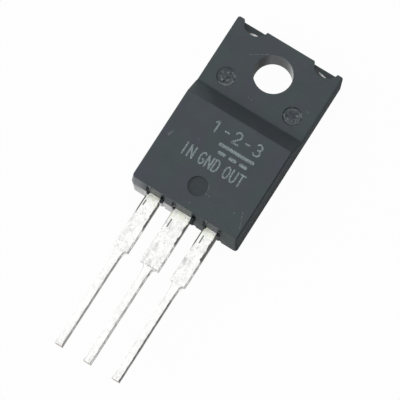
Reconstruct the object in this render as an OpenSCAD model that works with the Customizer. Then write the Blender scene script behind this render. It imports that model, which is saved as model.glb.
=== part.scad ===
// Three-lead voltage regulator in a full-mould flat package.
// Millimetres. Z is the axis of the mounting hole and z = 0 is the flat back face.
// The marked face looks towards +Z, the tab end towards +Y, and the leads leave towards -Y.

/* [Moulded body] */
// Overall width, measured at the parting line
body_w = 9.5; // [9:0.1:11]
// Overall length, from the tab end to the lead end
body_l = 15.6; // [15:0.1:18]
// Thickness of the block over the die
body_t = 4.5; // [4.3:0.1:5.2]
// Thickness of the tab
tab_t = 2.7; // [2.5:0.05:2.9]
// Length of the tab, from its end to the foot of the step
tab_l = 6; // [5.8:0.1:6.6]
// Length of the sloping step between the tab and the block
step_run = 1.55; // [1:0.05:2]
// Radius of the two upright corners at the lead end
end_corner_r = 0.25; // [0.15:0.05:0.5]
// Radius of the two upright corners at the tab end
tab_corner_r = 0.2; // [0.15:0.05:0.3]
// Draft of the side walls above the parting line, in degrees
side_draft = 3.4; // [1:0.1:6]
// Draft of the lead end above the parting line, in degrees
end_draft = 5.7; // [3:0.1:7]
// Draft of every wall below the parting line, in degrees
back_draft = 1; // [0.5:0.1:3]

/* [Mounting hole] */
// Diameter of the hole through the tab
hole_d = 3.1; // [2.8:0.1:3.4]
// Distance from the hole's axis to the tab end
hole_to_end = 2.63; // [2.5:0.01:2.9]

/* [Marks of the mould] */
// Radius of each half-round pocket in the tab end, at its floor
pocket_r = 1; // [0.8:0.05:1.1]
// Draft of the pocket wall, in degrees
pocket_draft = 4.5; // [1:0.5:8]
// Distance from the part's middle to each pocket's axis
pocket_x = 3.17; // [3.1:0.01:3.3]
// How far each pocket reaches in from the tab end, at its floor
pocket_depth = 0.78; // [0.6:0.01:0.9]
// Diameter of the two ejector marks on the tab
ejector_d = 1.5; // [1:0.1:1.8]
// Depth of the ejector marks
ejector_depth = 0.06; // [0.03:0.01:0.12]
// Distance from the part's middle to each ejector mark
ejector_x = 2.97; // [2.8:0.01:3.2]
// Distance of the ejector marks below the hole's axis
ejector_drop = 2.05; // [1.9:0.01:2.2]
// Diameter of the round dimple in the marked face
dimple_d = 1.6; // [1:0.1:2]
// Depth of the dimple
dimple_depth = 0.14; // [0.05:0.01:0.25]
// Distance from the lead end to the middle of the dimple
dimple_to_end = 2.07; // [1.8:0.01:2.6]
// Radius of the upright groove on each side of a lead
groove_r = 0.18; // [0.1:0.01:0.22]
// Height of skin left over the grooves, under the marked face
groove_cover = 0.3; // [0.2:0.05:0.6]

/* [Leads] */
// Distance from one lead's middle to the next
lead_pitch = 2.54; // [2.5:0.01:2.6]
// Thickness of the leads
lead_t = 0.5; // [0.4:0.05:0.6]
// Height of the leads' front face over the back face
lead_front_z = 3; // [2.9:0.05:3.1]
// Length of each lead outside the body
lead_l = 13.55; // [10:0.05:16]
// Length of the wide part outside the body
wide_l = 4.85; // [3:0.05:6]
// Width of the wide part of the two outer leads
outer_wide_w = 1.3; // [1.1:0.05:1.4]
// Width of the wide part of the middle lead
middle_wide_w = 1.64; // [1.4:0.02:1.8]
// Width of the thin part of each lead
thin_w = 0.62; // [0.5:0.02:0.8]
// Width of the outer leads where they leave the body
outer_neck_w = 0.92; // [0.8:0.02:1]
// Width of the middle lead where it leaves the body
middle_neck_w = 1.42; // [1.2:0.02:1.5]
// Radius of the inner corners where a lead turns thin
shoulder_r = 0.28; // [0.1:0.02:0.28]
// Length of each neck outside the body
neck_out = 0.12; // [0.05:0.01:0.2]
// Length over which a neck widens to the wide part
flare_l = 0.26; // [0.15:0.01:0.5]
// Width of the bonding post inside the body, on each outer lead
post_w = 2.1; // [1.6:0.05:2.3]
// Length of each bonding post
post_l = 1.3; // [1:0.05:1.5]
// Resin between each bonding post and the lead end
post_cover = 1.2; // [1:0.05:1.3]
// Diameter of the resin lock hole in each bonding post
post_hole_d = 0.5; // [0.4:0.05:0.6]

/* [Heat spreader] */
// Thickness of the plate
plate_t = 1.3; // [1:0.05:1.4]
// Resin between the plate and the back face
back_cover = 0.5; // [0.4:0.05:0.6]
// Resin between the plate and each side wall
side_cover = 0.75; // [0.6:0.05:0.9]
// Resin between the plate and the tab end
end_cover = 0.25; // [0.2:0.01:0.5]
// Resin between the plate and the lead end
lead_end_cover = 3.4; // [3.2:0.05:3.8]
// Resin between the plate and the mounting hole
hole_cover = 0.6; // [0.4:0.05:0.8]
// Fall of the plate's shoulders towards its sides, in degrees
shoulder_fall = 12; // [5:1:15]
// Distance from the middle to the start of each shoulder
shoulder_x = 2.4; // [2.2:0.05:2.6]
// Radius of the resin lock notch in each side of the plate
notch_r = 0.5; // [0.3:0.05:0.6]
// Distance of the lock notches below the hole's axis
notch_drop = 3.6; // [3:0.05:4]
// Flat stub of the middle lead before it climbs
stub_l = 0.35; // [0.2:0.05:0.5]
// Angle of the climb of the middle lead, in degrees
climb_angle = 45; // [40:1:60]

/* [Regulator die] */
// Width of the die
die_w = 2.6; // [2:0.1:3.2]
// Length of the die
die_l = 2.2; // [1.8:0.1:2.4]
// Thickness of the die
die_t = 0.3; // [0.2:0.05:0.4]
// Distance from the plate's lower edge to the die
die_inset = 1.17; // [1:0.01:1.3]
// Thickness of the solder under the die
solder_t = 0.05; // [0.03:0.01:0.1]
// How far the solder reaches beyond each side of the die
solder_rim = 0.15; // [0.05:0.05:0.25]

/* [Bond wires] */
// Diameter of the bond wires
wire_d = 0.25; // [0.15:0.05:0.3]
// Radius of the bends of the two long wires
long_bend_r = 0.6; // [0.4:0.05:0.65]
// Radius of the bends of the short ground wire
short_bend_r = 0.35; // [0.3:0.05:0.4]
// Height of the long wires' crown over the leads' front face
long_crown = 0.8; // [0.75:0.05:0.9]
// Height of the ground wire's crown over the die
short_crown = 0.6; // [0.5:0.05:0.8]
// Distance of the long wires' pads from the die's middle line
pad_x = 0.85; // [0.6:0.05:0.9]
// Distance of every pad from the die's lower edge
pad_inset = 0.35; // [0.3:0.05:0.5]
// Length of the flattened foot of a wire
foot_l = 0.45; // [0.35:0.05:0.5]
// Width of the flattened foot of a wire
foot_w = 0.32; // [0.3:0.01:0.36]
// Height of the flattened foot of a wire
foot_t = 0.1; // [0.06:0.01:0.14]
// Distance of the ground wire's foot on the plate from the plate's lower edge
ground_foot_inset = 0.4; // [0.3:0.05:0.5]

/* [Hidden] */
$fn = 64;

resin = [0.27, 0.30, 0.32];
tinned = [0.86, 0.86, 0.84];
silicon = [0.25, 0.27, 0.33];
solder_grey = [0.55, 0.56, 0.58];
wire_silver = [0.80, 0.81, 0.82];

// How far a cutting shape runs past the face that it cuts
over = 0.5;

// Levels, measured up from the back face
parting_z = lead_front_z;
lead_back_z = lead_front_z - lead_t;
plate_back_z = back_cover;
plate_front_z = back_cover + plate_t;
solder_front_z = plate_front_z + solder_t;
die_front_z = solder_front_z + die_t;

// Places along Y, measured from the hole's axis
tab_end_y = hole_to_end;
lead_end_y = tab_end_y - body_l;
step_foot_y = tab_end_y - tab_l;
step_top_y = step_foot_y - step_run;
tip_y = lead_end_y - lead_l;
neck_end_y = lead_end_y - neck_out;
flare_end_y = neck_end_y - flare_l;
wide_end_y = lead_end_y - wide_l;
post_low_y = lead_end_y + post_cover;
post_mid_y = post_low_y + post_l / 2;
plate_top_y = tab_end_y - end_cover;
plate_low_y = lead_end_y + lead_end_cover;
die_low_y = plate_low_y + die_inset;
die_mid_y = die_low_y + die_l / 2;
pad_y = die_low_y + pad_inset;

// Widths at the three levels that the drafts set
half_w = body_w / 2;
half_w_front = half_w - (body_t - parting_z) * tan(side_draft);
half_w_back = half_w - parting_z * tan(back_draft);
plate_half_w = half_w - side_cover;

// Where a lead's root starts: in the plate for the middle one, in the post for the others
root_overlap = 0.3;

// Extrudes a side view (drawn as y, z) to the given width, centred on the middle plane
module across(width) {
    rotate([90, 0, 90]) linear_extrude(width, center = true) children();
}

// Extrudes an end view (drawn as x, z) along the whole body
module along() {
    translate([0, tab_end_y + over, 0]) rotate([90, 0, 0]) linear_extrude(body_l + 2 * over) children();
}

// Outline of the moulding from the side: tab, step, block and the drafted ends
module side_view() {
    polygon([
        [tab_end_y - parting_z * tan(back_draft), 0],
        [tab_end_y - (parting_z - tab_t) * tan(back_draft), tab_t],
        [step_foot_y, tab_t],
        [step_top_y, body_t],
        [lead_end_y + (body_t - parting_z) * tan(end_draft), body_t],
        [lead_end_y, parting_z],
        [lead_end_y + parting_z * tan(2 * back_draft), 0]
    ]);
}

// Outline of the moulding from the lead end, with the drafted side walls
module end_view() {
    polygon([
        [-half_w_back, 0], [-half_w, parting_z], [-half_w_front, body_t],
        [half_w_front, body_t], [half_w, parting_z], [half_w_back, 0]
    ]);
}

// Rounds an upright corner: sx and sy say which one, r is its radius.
// Above and below the parting line the cut leans with the draft of the two walls that it joins.
module corner_cut(sx, sy, corner_y, r, front_draft, low_draft) {
    translate([0, 0, parting_z]) {
        leaning(-sx * tan(side_draft), -sy * tan(front_draft))
            corner_wedge(sx, sy, corner_y, r);
        leaning(sx * tan(back_draft), sy * tan(low_draft))
            mirror([0, 0, 1]) corner_wedge(sx, sy, corner_y, r);
    }
}

// Leans a shape, so that it runs off in x and y by the given amounts for each unit of height
module leaning(x_run, y_run) {
    multmatrix([[1, 0, x_run, 0], [0, 1, y_run, 0], [0, 0, 1, 0]]) children();
}

// What lies outside a quarter circle that touches the two walls of a corner
module corner_wedge(sx, sy, corner_y, r) {
    translate([sx * (half_w - r), corner_y - sy * r, 0]) linear_extrude(body_t) difference() {
        into_quadrant(sx, sy) square(2 * r);
        circle(r);
    }
}

// Mirrors a shape drawn in the first quadrant into the quadrant that sx and sy name
module into_quadrant(sx, sy) {
    mirror([sx < 0 ? 1 : 0, 0]) mirror([0, sy < 0 ? 1 : 0]) children();
}

// Half-round pocket that bares the shoulder of the heat spreader
module pocket_cut(side) {
    height = tab_t - plate_front_z + over;
    translate([side * pocket_x, tab_end_y - pocket_depth + pocket_r, plate_front_z])
        cylinder(h = height, r1 = pocket_r, r2 = pocket_r + height * tan(pocket_draft));
}

// Upright half-round groove in the lead end, beside the neck of a lead
module groove_cut(x) {
    translate([x, lead_end_y, -over]) cylinder(h = body_t - groove_cover + over, r = groove_r);
}

module grooves() {
    for (lead = [-1, 0, 1], side = [-1, 1])
        groove_cut(lead * lead_pitch + side * ((lead == 0 ? middle_neck_w : outer_neck_w) / 2 + groove_r));
}

// The moulded shape with its hole and the marks of the mould, before the inner pieces are let in
module moulding() {
    difference() {
        intersection() {
            across(body_w + 2 * over) side_view();
            along() end_view();
        }
        for (side = [-1, 1]) {
            corner_cut(side, 1, tab_end_y, tab_corner_r, back_draft, back_draft);
            corner_cut(side, -1, lead_end_y, end_corner_r, end_draft, 2 * back_draft);
            pocket_cut(side);
            translate([side * ejector_x, -ejector_drop, tab_t - ejector_depth])
                cylinder(h = ejector_depth + over, d = ejector_d);
        }
        translate([0, 0, -over]) cylinder(h = tab_t + 2 * over, d = hole_d);
        translate([0, lead_end_y + dimple_to_end, body_t - dimple_depth])
            cylinder(h = dimple_depth + over, d = dimple_d);
        grooves();
    }
}

// One piece of black epoxy, moulded round the leads, the die and the wires
module mould_body() {
    color(resin) difference() {
        moulding();
        header_ground_lead();
        input_lead();
        output_lead();
        regulator_die();
        die_attach_solder();
        input_bond_wire();
        output_bond_wire();
        ground_bond_wire();
    }
}

// Plan of a lead from its root to its tip, with its middle line on x = 0.
// The inner corner where it turns thin is a quarter of a circle of radius shoulder_r.
module lead_plan(root_y, neck_w, wide_w) {
    shoulder = [for (a = [0:15:90]) [thin_w / 2 + shoulder_r * (1 - sin(a)), wide_end_y - shoulder_r * (1 - cos(a))]];
    edge = concat(
        [[neck_w / 2, root_y], [neck_w / 2, neck_end_y], [wide_w / 2, flare_end_y], [wide_w / 2, wide_end_y]],
        shoulder,
        [[thin_w / 2, tip_y]]
    );
    polygon(concat(edge, [for (i = [len(edge) - 1:-1:0]) [-edge[i].x, edge[i].y]]));
}

// Flat outer lead with its bonding post: side is -1 for the input and 1 for the output
module outer_lead(side) {
    translate([side * lead_pitch, 0, lead_back_z]) difference() {
        union() {
            linear_extrude(lead_t) lead_plan(post_low_y + root_overlap, outer_neck_w, outer_wide_w);
            translate([-post_w / 2, post_low_y, 0]) cube([post_w, post_l, lead_t]);
        }
        translate([-side * post_w / 4, post_mid_y, -over]) cylinder(h = lead_t + 2 * over, d = post_hole_d);
    }
}

module input_lead() {
    color(tinned) outer_lead(-1);
}

module output_lead() {
    color(tinned) outer_lead(1);
}

// Plan of the heat spreader: sloping shoulders, side lock notches and clearance round the hole
module plate_plan() {
    fall = (plate_half_w - shoulder_x) * tan(shoulder_fall);
    difference() {
        polygon([
            [-plate_half_w, plate_low_y], [plate_half_w, plate_low_y],
            [plate_half_w, plate_top_y - fall], [shoulder_x, plate_top_y],
            [-shoulder_x, plate_top_y], [-plate_half_w, plate_top_y - fall]
        ]);
        circle(d = hole_d + 2 * hole_cover);
        for (side = [-1, 1]) translate([side * plate_half_w, -notch_drop]) circle(notch_r);
    }
}

// Side view of the middle lead: it leaves the plate's front face, climbs and runs straight out
module climbing_strip() {
    turn = lead_t * tan(climb_angle / 2);
    climb_run = (lead_front_z - plate_front_z) / tan(climb_angle);
    climb_start_y = plate_low_y - stub_l;
    climb_end_y = climb_start_y - climb_run;
    polygon([
        [plate_low_y + root_overlap, plate_front_z], [climb_start_y, plate_front_z],
        [climb_end_y, lead_front_z], [tip_y, lead_front_z], [tip_y, lead_back_z],
        [climb_end_y - turn, lead_back_z], [climb_start_y - turn, plate_front_z - lead_t],
        [plate_low_y + root_overlap, plate_front_z - lead_t]
    ]);
}

// Heat spreader and middle lead, stamped and formed from one strip of two thicknesses
module header_ground_lead() {
    color(tinned) {
        translate([0, 0, plate_back_z]) linear_extrude(plate_t) plate_plan();
        intersection() {
            across(2 * middle_wide_w) climbing_strip();
            linear_extrude(body_t) lead_plan(plate_low_y + root_overlap, middle_neck_w, middle_wide_w);
        }
    }
}

module die_attach_solder() {
    color(solder_grey) translate([0, die_mid_y, plate_front_z + solder_t / 2])
        cube([die_w + 2 * solder_rim, die_l + 2 * solder_rim, solder_t], center = true);
}

module regulator_die() {
    color(silicon) translate([0, die_mid_y, solder_front_z + die_t / 2])
        cube([die_w, die_l, die_t], center = true);
}

// Bond wire from start to finish, each [x, y, z] on the face that it is bonded to.
// It rises from a flattened foot, bends over at crown_z, runs level and comes down again.
module bond_wire(start, finish, crown_z, bend_r) {
    reach = norm([finish.x - start.x, finish.y - start.y]);
    heading = atan2(finish.y - start.y, finish.x - start.x);
    translate([start.x, start.y, 0]) rotate([0, 0, heading]) {
        wire_end(start.z, crown_z, bend_r);
        translate([reach, 0, 0]) mirror([1, 0, 0]) wire_end(finish.z, crown_z, bend_r);
        translate([bend_r, 0, crown_z]) rotate([0, 90, 0]) cylinder(h = reach - 2 * bend_r, d = wire_d);
    }
}

// One end of a bond wire: foot, riser and the bend into the level run towards +X
module wire_end(foot_z, crown_z, bend_r) {
    translate([-foot_l / 2, -foot_w / 2, foot_z]) cube([foot_l, foot_w, foot_t]);
    translate([0, 0, foot_z]) cylinder(h = crown_z - bend_r - foot_z, d = wire_d);
    translate([bend_r, 0, crown_z - bend_r]) rotate([90, 0, 0])
        rotate([0, 0, 90]) rotate_extrude(angle = 90) translate([bend_r, 0]) circle(d = wire_d);
}

module input_bond_wire() {
    color(wire_silver) bond_wire([-pad_x, pad_y, die_front_z], [-lead_pitch, post_mid_y, lead_front_z],
                                 lead_front_z + long_crown, long_bend_r);
}

module output_bond_wire() {
    color(wire_silver) bond_wire([pad_x, pad_y, die_front_z], [lead_pitch, post_mid_y, lead_front_z],
                                 lead_front_z + long_crown, long_bend_r);
}

module ground_bond_wire() {
    color(wire_silver) bond_wire([0, pad_y, die_front_z], [0, plate_low_y + ground_foot_inset, plate_front_z],
                                 die_front_z + short_crown, short_bend_r);
}

mould_body();
header_ground_lead();
input_lead();
output_lead();
regulator_die();
die_attach_solder();
input_bond_wire();
output_bond_wire();
ground_bond_wire();
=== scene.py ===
# Looks of a three-lead voltage regulator lying on its flat back.
# Lengths in the settings are millimetres and become metres at the mesh.
import math

import bmesh
import bpy
import numpy as np
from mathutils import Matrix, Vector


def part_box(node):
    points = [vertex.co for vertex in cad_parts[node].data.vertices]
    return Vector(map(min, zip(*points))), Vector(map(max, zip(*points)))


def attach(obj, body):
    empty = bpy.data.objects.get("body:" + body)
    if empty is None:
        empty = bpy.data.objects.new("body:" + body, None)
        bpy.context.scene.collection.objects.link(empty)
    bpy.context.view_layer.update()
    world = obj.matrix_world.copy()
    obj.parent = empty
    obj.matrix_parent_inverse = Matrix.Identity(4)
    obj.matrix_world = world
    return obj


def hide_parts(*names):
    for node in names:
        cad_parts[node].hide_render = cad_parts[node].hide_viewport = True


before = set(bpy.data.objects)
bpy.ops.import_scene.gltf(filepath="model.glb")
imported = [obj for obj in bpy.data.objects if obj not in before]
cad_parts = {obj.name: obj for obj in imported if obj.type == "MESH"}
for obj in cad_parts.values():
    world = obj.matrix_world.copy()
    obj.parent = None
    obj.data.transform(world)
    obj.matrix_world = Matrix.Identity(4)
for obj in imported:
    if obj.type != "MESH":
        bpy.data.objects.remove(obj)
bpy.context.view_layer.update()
mm = 0.001
leadPitch = 2.54
weldDistance = 0.0005


def corners(node):
    # lowest and highest corner of a node, in millimetres
    low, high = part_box(node)
    return np.array(low) / mm, np.array(high) / mm


bodyLow, bodyHigh = corners("mould_body")
leadLow, leadHigh = corners("input_lead")
print("frame loaded")


# Camera: the photograph's viewing angle, fitted to its 400 pixel frame
cameraSettings = {
    "azimuth": 32.1,
    "elevation": 77.04,
    "distance": 222.5,
    "lookAt": (0.157, -10.851, 0.0),
    "focalPixels": 2888.4,
    "pictureWidth": 400,
    "sensorWidth": 36.0,
}


def makeCamera(settings):
    turn = math.radians(settings["azimuth"])
    rise = math.radians(settings["elevation"])
    back = np.array([
        math.sin(turn) * math.cos(rise),
        -math.cos(turn) * math.cos(rise),
        math.sin(rise),
    ])
    data = bpy.data.cameras.new("camera")
    data.sensor_fit = "HORIZONTAL"
    data.sensor_width = settings["sensorWidth"]
    data.lens = settings["sensorWidth"] * settings["focalPixels"] / settings["pictureWidth"]
    data.clip_start = 0.01
    data.clip_end = 20
    camera = bpy.data.objects.new("camera", data)
    camera.location = (np.array(settings["lookAt"]) + back * settings["distance"]) * mm
    camera.rotation_euler = (math.radians(90) - rise, 0, turn)
    bpy.context.scene.collection.objects.link(camera)
    bpy.context.scene.camera = camera


makeCamera(cameraSettings)
print("camera set")


# Shader maths written as Python expressions
class Flow:
    # one socket: sums, products and powers on it add Math nodes

    def __init__(self, shade, socket):
        self.shade = shade
        self.socket = socket

    def __add__(self, other):
        return self.shade.maths("ADD", self, other)

    def __sub__(self, other):
        return self.shade.maths("SUBTRACT", self, other)

    def __mul__(self, other):
        return self.shade.maths("MULTIPLY", self, other)

    def __truediv__(self, other):
        return self.shade.maths("DIVIDE", self, other)

    def __pow__(self, other):
        return self.shade.maths("POWER", self, other)

    def __rsub__(self, other):
        return self.shade.maths("SUBTRACT", other, self)

    def __abs__(self):
        return self.shade.maths("ABSOLUTE", self)

    __radd__ = __add__
    __rmul__ = __mul__


class Shade:
    # one material and its node tree

    def __init__(self, name):
        self.material = bpy.data.materials.new(name)
        self.material.use_nodes = True
        self.tree = self.material.node_tree
        self.tree.nodes.clear()
        self.place = self.node("ShaderNodeTexCoord", output="Object")
        split = self.node("ShaderNodeSeparateXYZ", inputs={"Vector": self.place}, output="X")
        outputs = split.socket.node.outputs
        self.x, self.y, self.z = [Flow(self, outputs[name]) * (1 / mm) for name in "XYZ"]

    def node(self, kind, settings=None, inputs=None, output=0):
        made = self.tree.nodes.new(kind)
        for name, value in (settings or {}).items():
            setattr(made, name, value)
        for name, value in (inputs or {}).items():
            self.feed(made.inputs[name], value)
        return Flow(self, made.outputs[output]) if made.outputs else made

    def feed(self, socket, value):
        if isinstance(value, Flow):
            self.tree.links.new(value.socket, socket)
        else:
            socket.default_value = value

    def maths(self, operation, *values):
        return self.node("ShaderNodeMath", {"operation": operation}, dict(enumerate(values)))

    def larger(self, first, *others):
        for other in others:
            first = self.maths("MAXIMUM", first, other)
        return first

    def smaller(self, first, *others):
        for other in others:
            first = self.maths("MINIMUM", first, other)
        return first

    def step(self, value, low, high):
        # rises smoothly from 0 at low to 1 at high
        inputs = {"Value": value, "From Min": low, "From Max": high}
        return self.node("ShaderNodeMapRange", {"interpolation_type": "SMOOTHSTEP"}, inputs)

    def fall(self, value, low, high):
        # falls smoothly from 1 at low to 0 at high
        return 1 - self.step(value, low, high)

    def noise(self, size, detail=3.0, roughness=0.55, place=None):
        # size is the width of a patch, in millimetres
        inputs = {"Vector": place or self.place, "Scale": 1 / (size * mm), "Detail": detail,
                  "Roughness": roughness}
        return self.node("ShaderNodeTexNoise", {}, inputs)

    def patches(self, size, detail, roughness, low, high, place=None):
        # 0 where the noise is below low and 1 where it is above high
        return self.step(self.noise(size, detail, roughness, place), low, high)

    def uneven(self, level, spread, *noise):
        # the level, varied by up to half the spread
        return self.noise(*noise) * spread + (level - spread / 2)

    def stretched(self, scale):
        # the place, stretched by a factor along each axis
        inputs = {"Vector": self.place, "Scale": scale}
        return self.node("ShaderNodeMapping", {}, inputs)

    def blend(self, factor, first, second):
        # first and second are colours, as values or flows
        inputs = {0: factor, 6: opaque(first), 7: opaque(second)}
        return self.node("ShaderNodeMix", {"data_type": "RGBA"}, inputs, output=2)

    def bump(self, height, depth):
        # depth is in millimetres for a height of 1
        return self.node("ShaderNodeBump", {}, {"Height": height, "Distance": depth * mm})

    def finish(self, **inputs):
        # the keyword Base_Color feeds the socket Base Color, and so on
        named = {name.replace("_", " "): value for name, value in inputs.items()}
        surface = self.node("ShaderNodeBsdfPrincipled", {}, named)
        self.node("ShaderNodeOutputMaterial", {}, {"Surface": surface})
        return self.material


def opaque(colour):
    return colour if isinstance(colour, Flow) else (*colour, 1.0)


def distance(u, v):
    return (u ** 2.0 + v ** 2.0) ** 0.5


def leadOffset(shade):
    # how far to the right of the nearest lead's middle line
    return shade.x - shade.maths("ROUND", shade.x / leadPitch) * leadPitch


def strokeMask(shade, startX, startY, endX, endY, halfWidth, soft):
    # 1 on a straight scratch between two points of the plan, falling to 0 over the soft margin.
    # The distance is from the point to the nearest point of the line's stretch.
    start = np.array([startX, startY])
    run = np.array([endX, endY]) - start
    length = float(np.hypot(*run))
    along = run / length
    across = np.array([-along[1], along[0]])
    u = shade.x * float(along[0]) + shade.y * float(along[1]) - float(start @ along)
    v = shade.x * float(across[0]) + shade.y * float(across[1]) - float(start @ across)
    beyond = shade.larger(u * -1, shade.larger(u - length, 0.0))
    return shade.fall(distance(beyond, v), halfWidth, halfWidth + soft)


def strokesMask(shade, strokes, soft):
    # 1 on any of the scratches, each given as x and y of its start and end and half its width
    return shade.larger(*[strokeMask(shade, *stroke, soft) for stroke in strokes])


def between(onRight, settings):
    # the strength on the left where onRight is 0, that on the right where it is 1
    return onRight * (settings["right"] - settings["left"]) + settings["left"]


def moved(pair, by):
    # a mask's start and end, both moved by the same length
    return pair[0] + by, pair[1] + by


# Levels and outlines that several pieces or finishes share
tabTop = 2.7
holeRadius = 1.55
grooveRadius = 0.18
grooveMiddles = (-3.18, -1.90, -0.89, 0.89, 1.90, 3.18)
dimple = {"place": (0.0, -10.9), "radius": 0.8}
leadShape = {"wideOuter": 1.3, "wideMiddle": 1.64, "thin": 0.62, "wideLength": 4.85}


def zone(shade, part):
    # The part's strength inside its limits along x, y, z or from the body's lead end. A mask rises
    # where its pair of lengths goes up and falls where it goes down.
    inside = part.get("strength")
    for axis in ("x", "y", "z", "fromEnd"):
        for first, last in part.get(axis, ()):
            flow = shade.y - bodyLow[1] if axis == "fromEnd" else getattr(shade, axis)
            mask = shade.step(flow, first, last) if first < last else shade.fall(flow, last, first)
            inside = mask if inside is None else mask * inside
    return inside


# Ejector marks: rough discs left by the mould's pins, with the nicks in them
ejectorSettings = {
    "places": ((-2.97, -2.05), (2.97, -2.05)),
    "radius": 0.755,
    "floor": 0.05,
    "edge": 0.08,
    "rim": 0.035,
    "rimRadius": 0.60,
    "rimWidth": 0.06,
    "bumps": 0.02,
    "skirt": 0.12,
    "rings": 40,
    "spokes": 96,
    "sharpAngle": 50,
    # the dark ring is painted shade on each mark's rim, and the pale ring is a painted highlight
    "shadedRing": {
        "radius": 0.70, "width": (0.02, 0.07), "fade": (-2.0, 1.0), "left": 0.25, "right": 0.65,
    },
    "highlightRing": {"radius": 0.60, "width": (0.02, 0.06), "fade": (-3.0, 1.5), "strength": 0.6},
    "blots": {"size": 0.2, "detail": 3.0, "roughness": 0.6},
    "darkBlots": {"levels": (0.38, 0.46), "left": 0.4, "right": 0.75},
    "paleBlots": {"levels": (0.56, 0.66), "leftShift": 0.06, "strength": 0.6},
    "nickStrength": 0.9,
    "paleSoft": 0.05,
    "paleNicks": [
        (-3.33, -2.69, -3.02, -2.76, 0.030), (-3.02, -2.76, -2.72, -2.70, 0.045),
        (-2.72, -2.70, -2.44, -2.46, 0.045), (-2.44, -2.46, -2.32, -2.09, 0.030),
        (-2.37, -1.77, -2.50, -1.64, 0.030), (-3.15, -2.42, -3.12, -2.40, 0.060),
        (-2.74, -2.24, -2.72, -2.21, 0.050), (-3.03, -1.70, -3.02, -1.68, 0.040),
        (-2.68, -1.58, -2.67, -1.56, 0.035), (2.74, -2.50, 2.78, -2.42, 0.045),
        (3.12, -2.44, 3.16, -2.38, 0.050), (3.37, -2.13, 3.40, -2.10, 0.040),
        (3.28, -1.86, 3.32, -1.80, 0.050), (3.47, -1.58, 3.60, -1.76, 0.035),
        (2.38, -2.26, 2.56, -2.42, 0.015), (2.45, -1.76, 2.88, -1.47, 0.005),
    ],
    "darkSoft": 0.04,
    "darkNicks": [
        (-2.98, -2.48, -2.76, -1.83, 0.020), (-2.99, -2.52, -2.95, -2.42, 0.055),
        (-3.28, -2.62, -3.13, -2.58, 0.025), (-2.78, -1.66, -2.53, -1.79, 0.020),
        (3.12, -1.80, 3.14, -1.76, 0.060), (2.66, -1.90, 2.69, -1.86, 0.040),
        (3.02, -2.50, 3.05, -2.38, 0.045), (2.56, -2.30, 2.60, -2.24, 0.035),
        (3.46, -2.24, 3.50, -2.20, 0.045), (3.22, -2.32, 3.27, -2.24, 0.050),
        (2.29, -2.09, 2.29, -1.84, 0.030), (2.29, -1.84, 2.44, -1.62, 0.035),
        (2.44, -1.62, 2.88, -1.38, 0.035),
    ],
}


def ringMask(shade, settings, fromMark, slant):
    # a ring that fades where slant is low
    ring = shade.fall(abs(fromMark - settings["radius"]), *settings["width"])
    return ring * shade.step(slant, *settings["fade"])


def markWearAndRingLight(shade, settings):
    # Pale and dark spots of the marks. The right one has a dark ring of painted shade that fades to the
    # lower right and a pale ring of painted highlight inside it that fades to the upper left, and the
    # left one only a faint ring of painted shade. Blots and nicks of wear lie over both.
    x, y = settings["places"][1]
    v = shade.y - y
    fromMark = distance(abs(shade.x) - x, v)
    shadedRing = ringMask(shade, settings["shadedRing"], fromMark, v - shade.x + x)
    highlightRing = ringMask(shade, settings["highlightRing"], fromMark, shade.x - x - v)
    onRight = shade.step(shade.x, 0, 1)
    blots = shade.noise(**settings["blots"])
    low, high = settings["paleBlots"]["levels"]
    paleBlots = shade.step(blots, low - (1 - onRight) * settings["paleBlots"]["leftShift"], high)
    darkBlots = shade.fall(blots, *settings["darkBlots"]["levels"])
    paleNicks = strokesMask(shade, settings["paleNicks"], settings["paleSoft"])
    darkNicks = strokesMask(shade, settings["darkNicks"], settings["darkSoft"])
    paleWearAndHighlight = shade.larger(
        highlightRing * settings["highlightRing"]["strength"],
        paleBlots * settings["paleBlots"]["strength"],
        paleNicks * settings["nickStrength"],
    )
    darkWearAndShade = shade.larger(
        shadedRing * between(onRight, settings["shadedRing"]),
        darkBlots * between(onRight, settings["darkBlots"]),
        darkNicks * settings["nickStrength"],
    )
    return paleWearAndHighlight, darkWearAndShade


# Shadows
shadowSettings = {
    "dimple": {"rim": (-0.1, 0.02), "strength": 0.42},
    "groove": {"side": (0.9, 1.15), "fromEnd": [(0.26, 0.19)], "z": [(4.3, 4.15)], "strength": 0.6},
    "hole": {"towards": (-0.985, -0.174), "reach": (0.95, 1.40), "strength": 0.5},
    "slope": {"y": [(-5.1, -5.0)], "z": [(2.74, 2.86), (4.47, 4.38)], "strength": 0.38},
    "slopeEdge": {"left": (-3.9, -3.0), "noise": 0.8, "lean": -0.9},
    "wall": {"x": [(4.56, 4.64)]},
    "wallBase": 0.14,
    "nearFront": {"z": [(4.12, 4.32)], "strength": 0.62},
    "aboveTab": {"z": [(2.72, 2.9), (3.4, 3.0)], "strength": 0.25},
    "lowWall": {"x": [(4.62, 4.68)], "z": [(3.0, 2.85)]},
    "lowWallBase": 0.75,
    "lowWallLoss": {"y": [(-4.8, -3.6)], "strength": 0.45},
}


def insideHole(shade):
    # 1 on the wall of the screw hole
    return shade.fall(distance(shade.x, shade.y), holeRadius + 0.005, holeRadius + 0.015)


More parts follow.
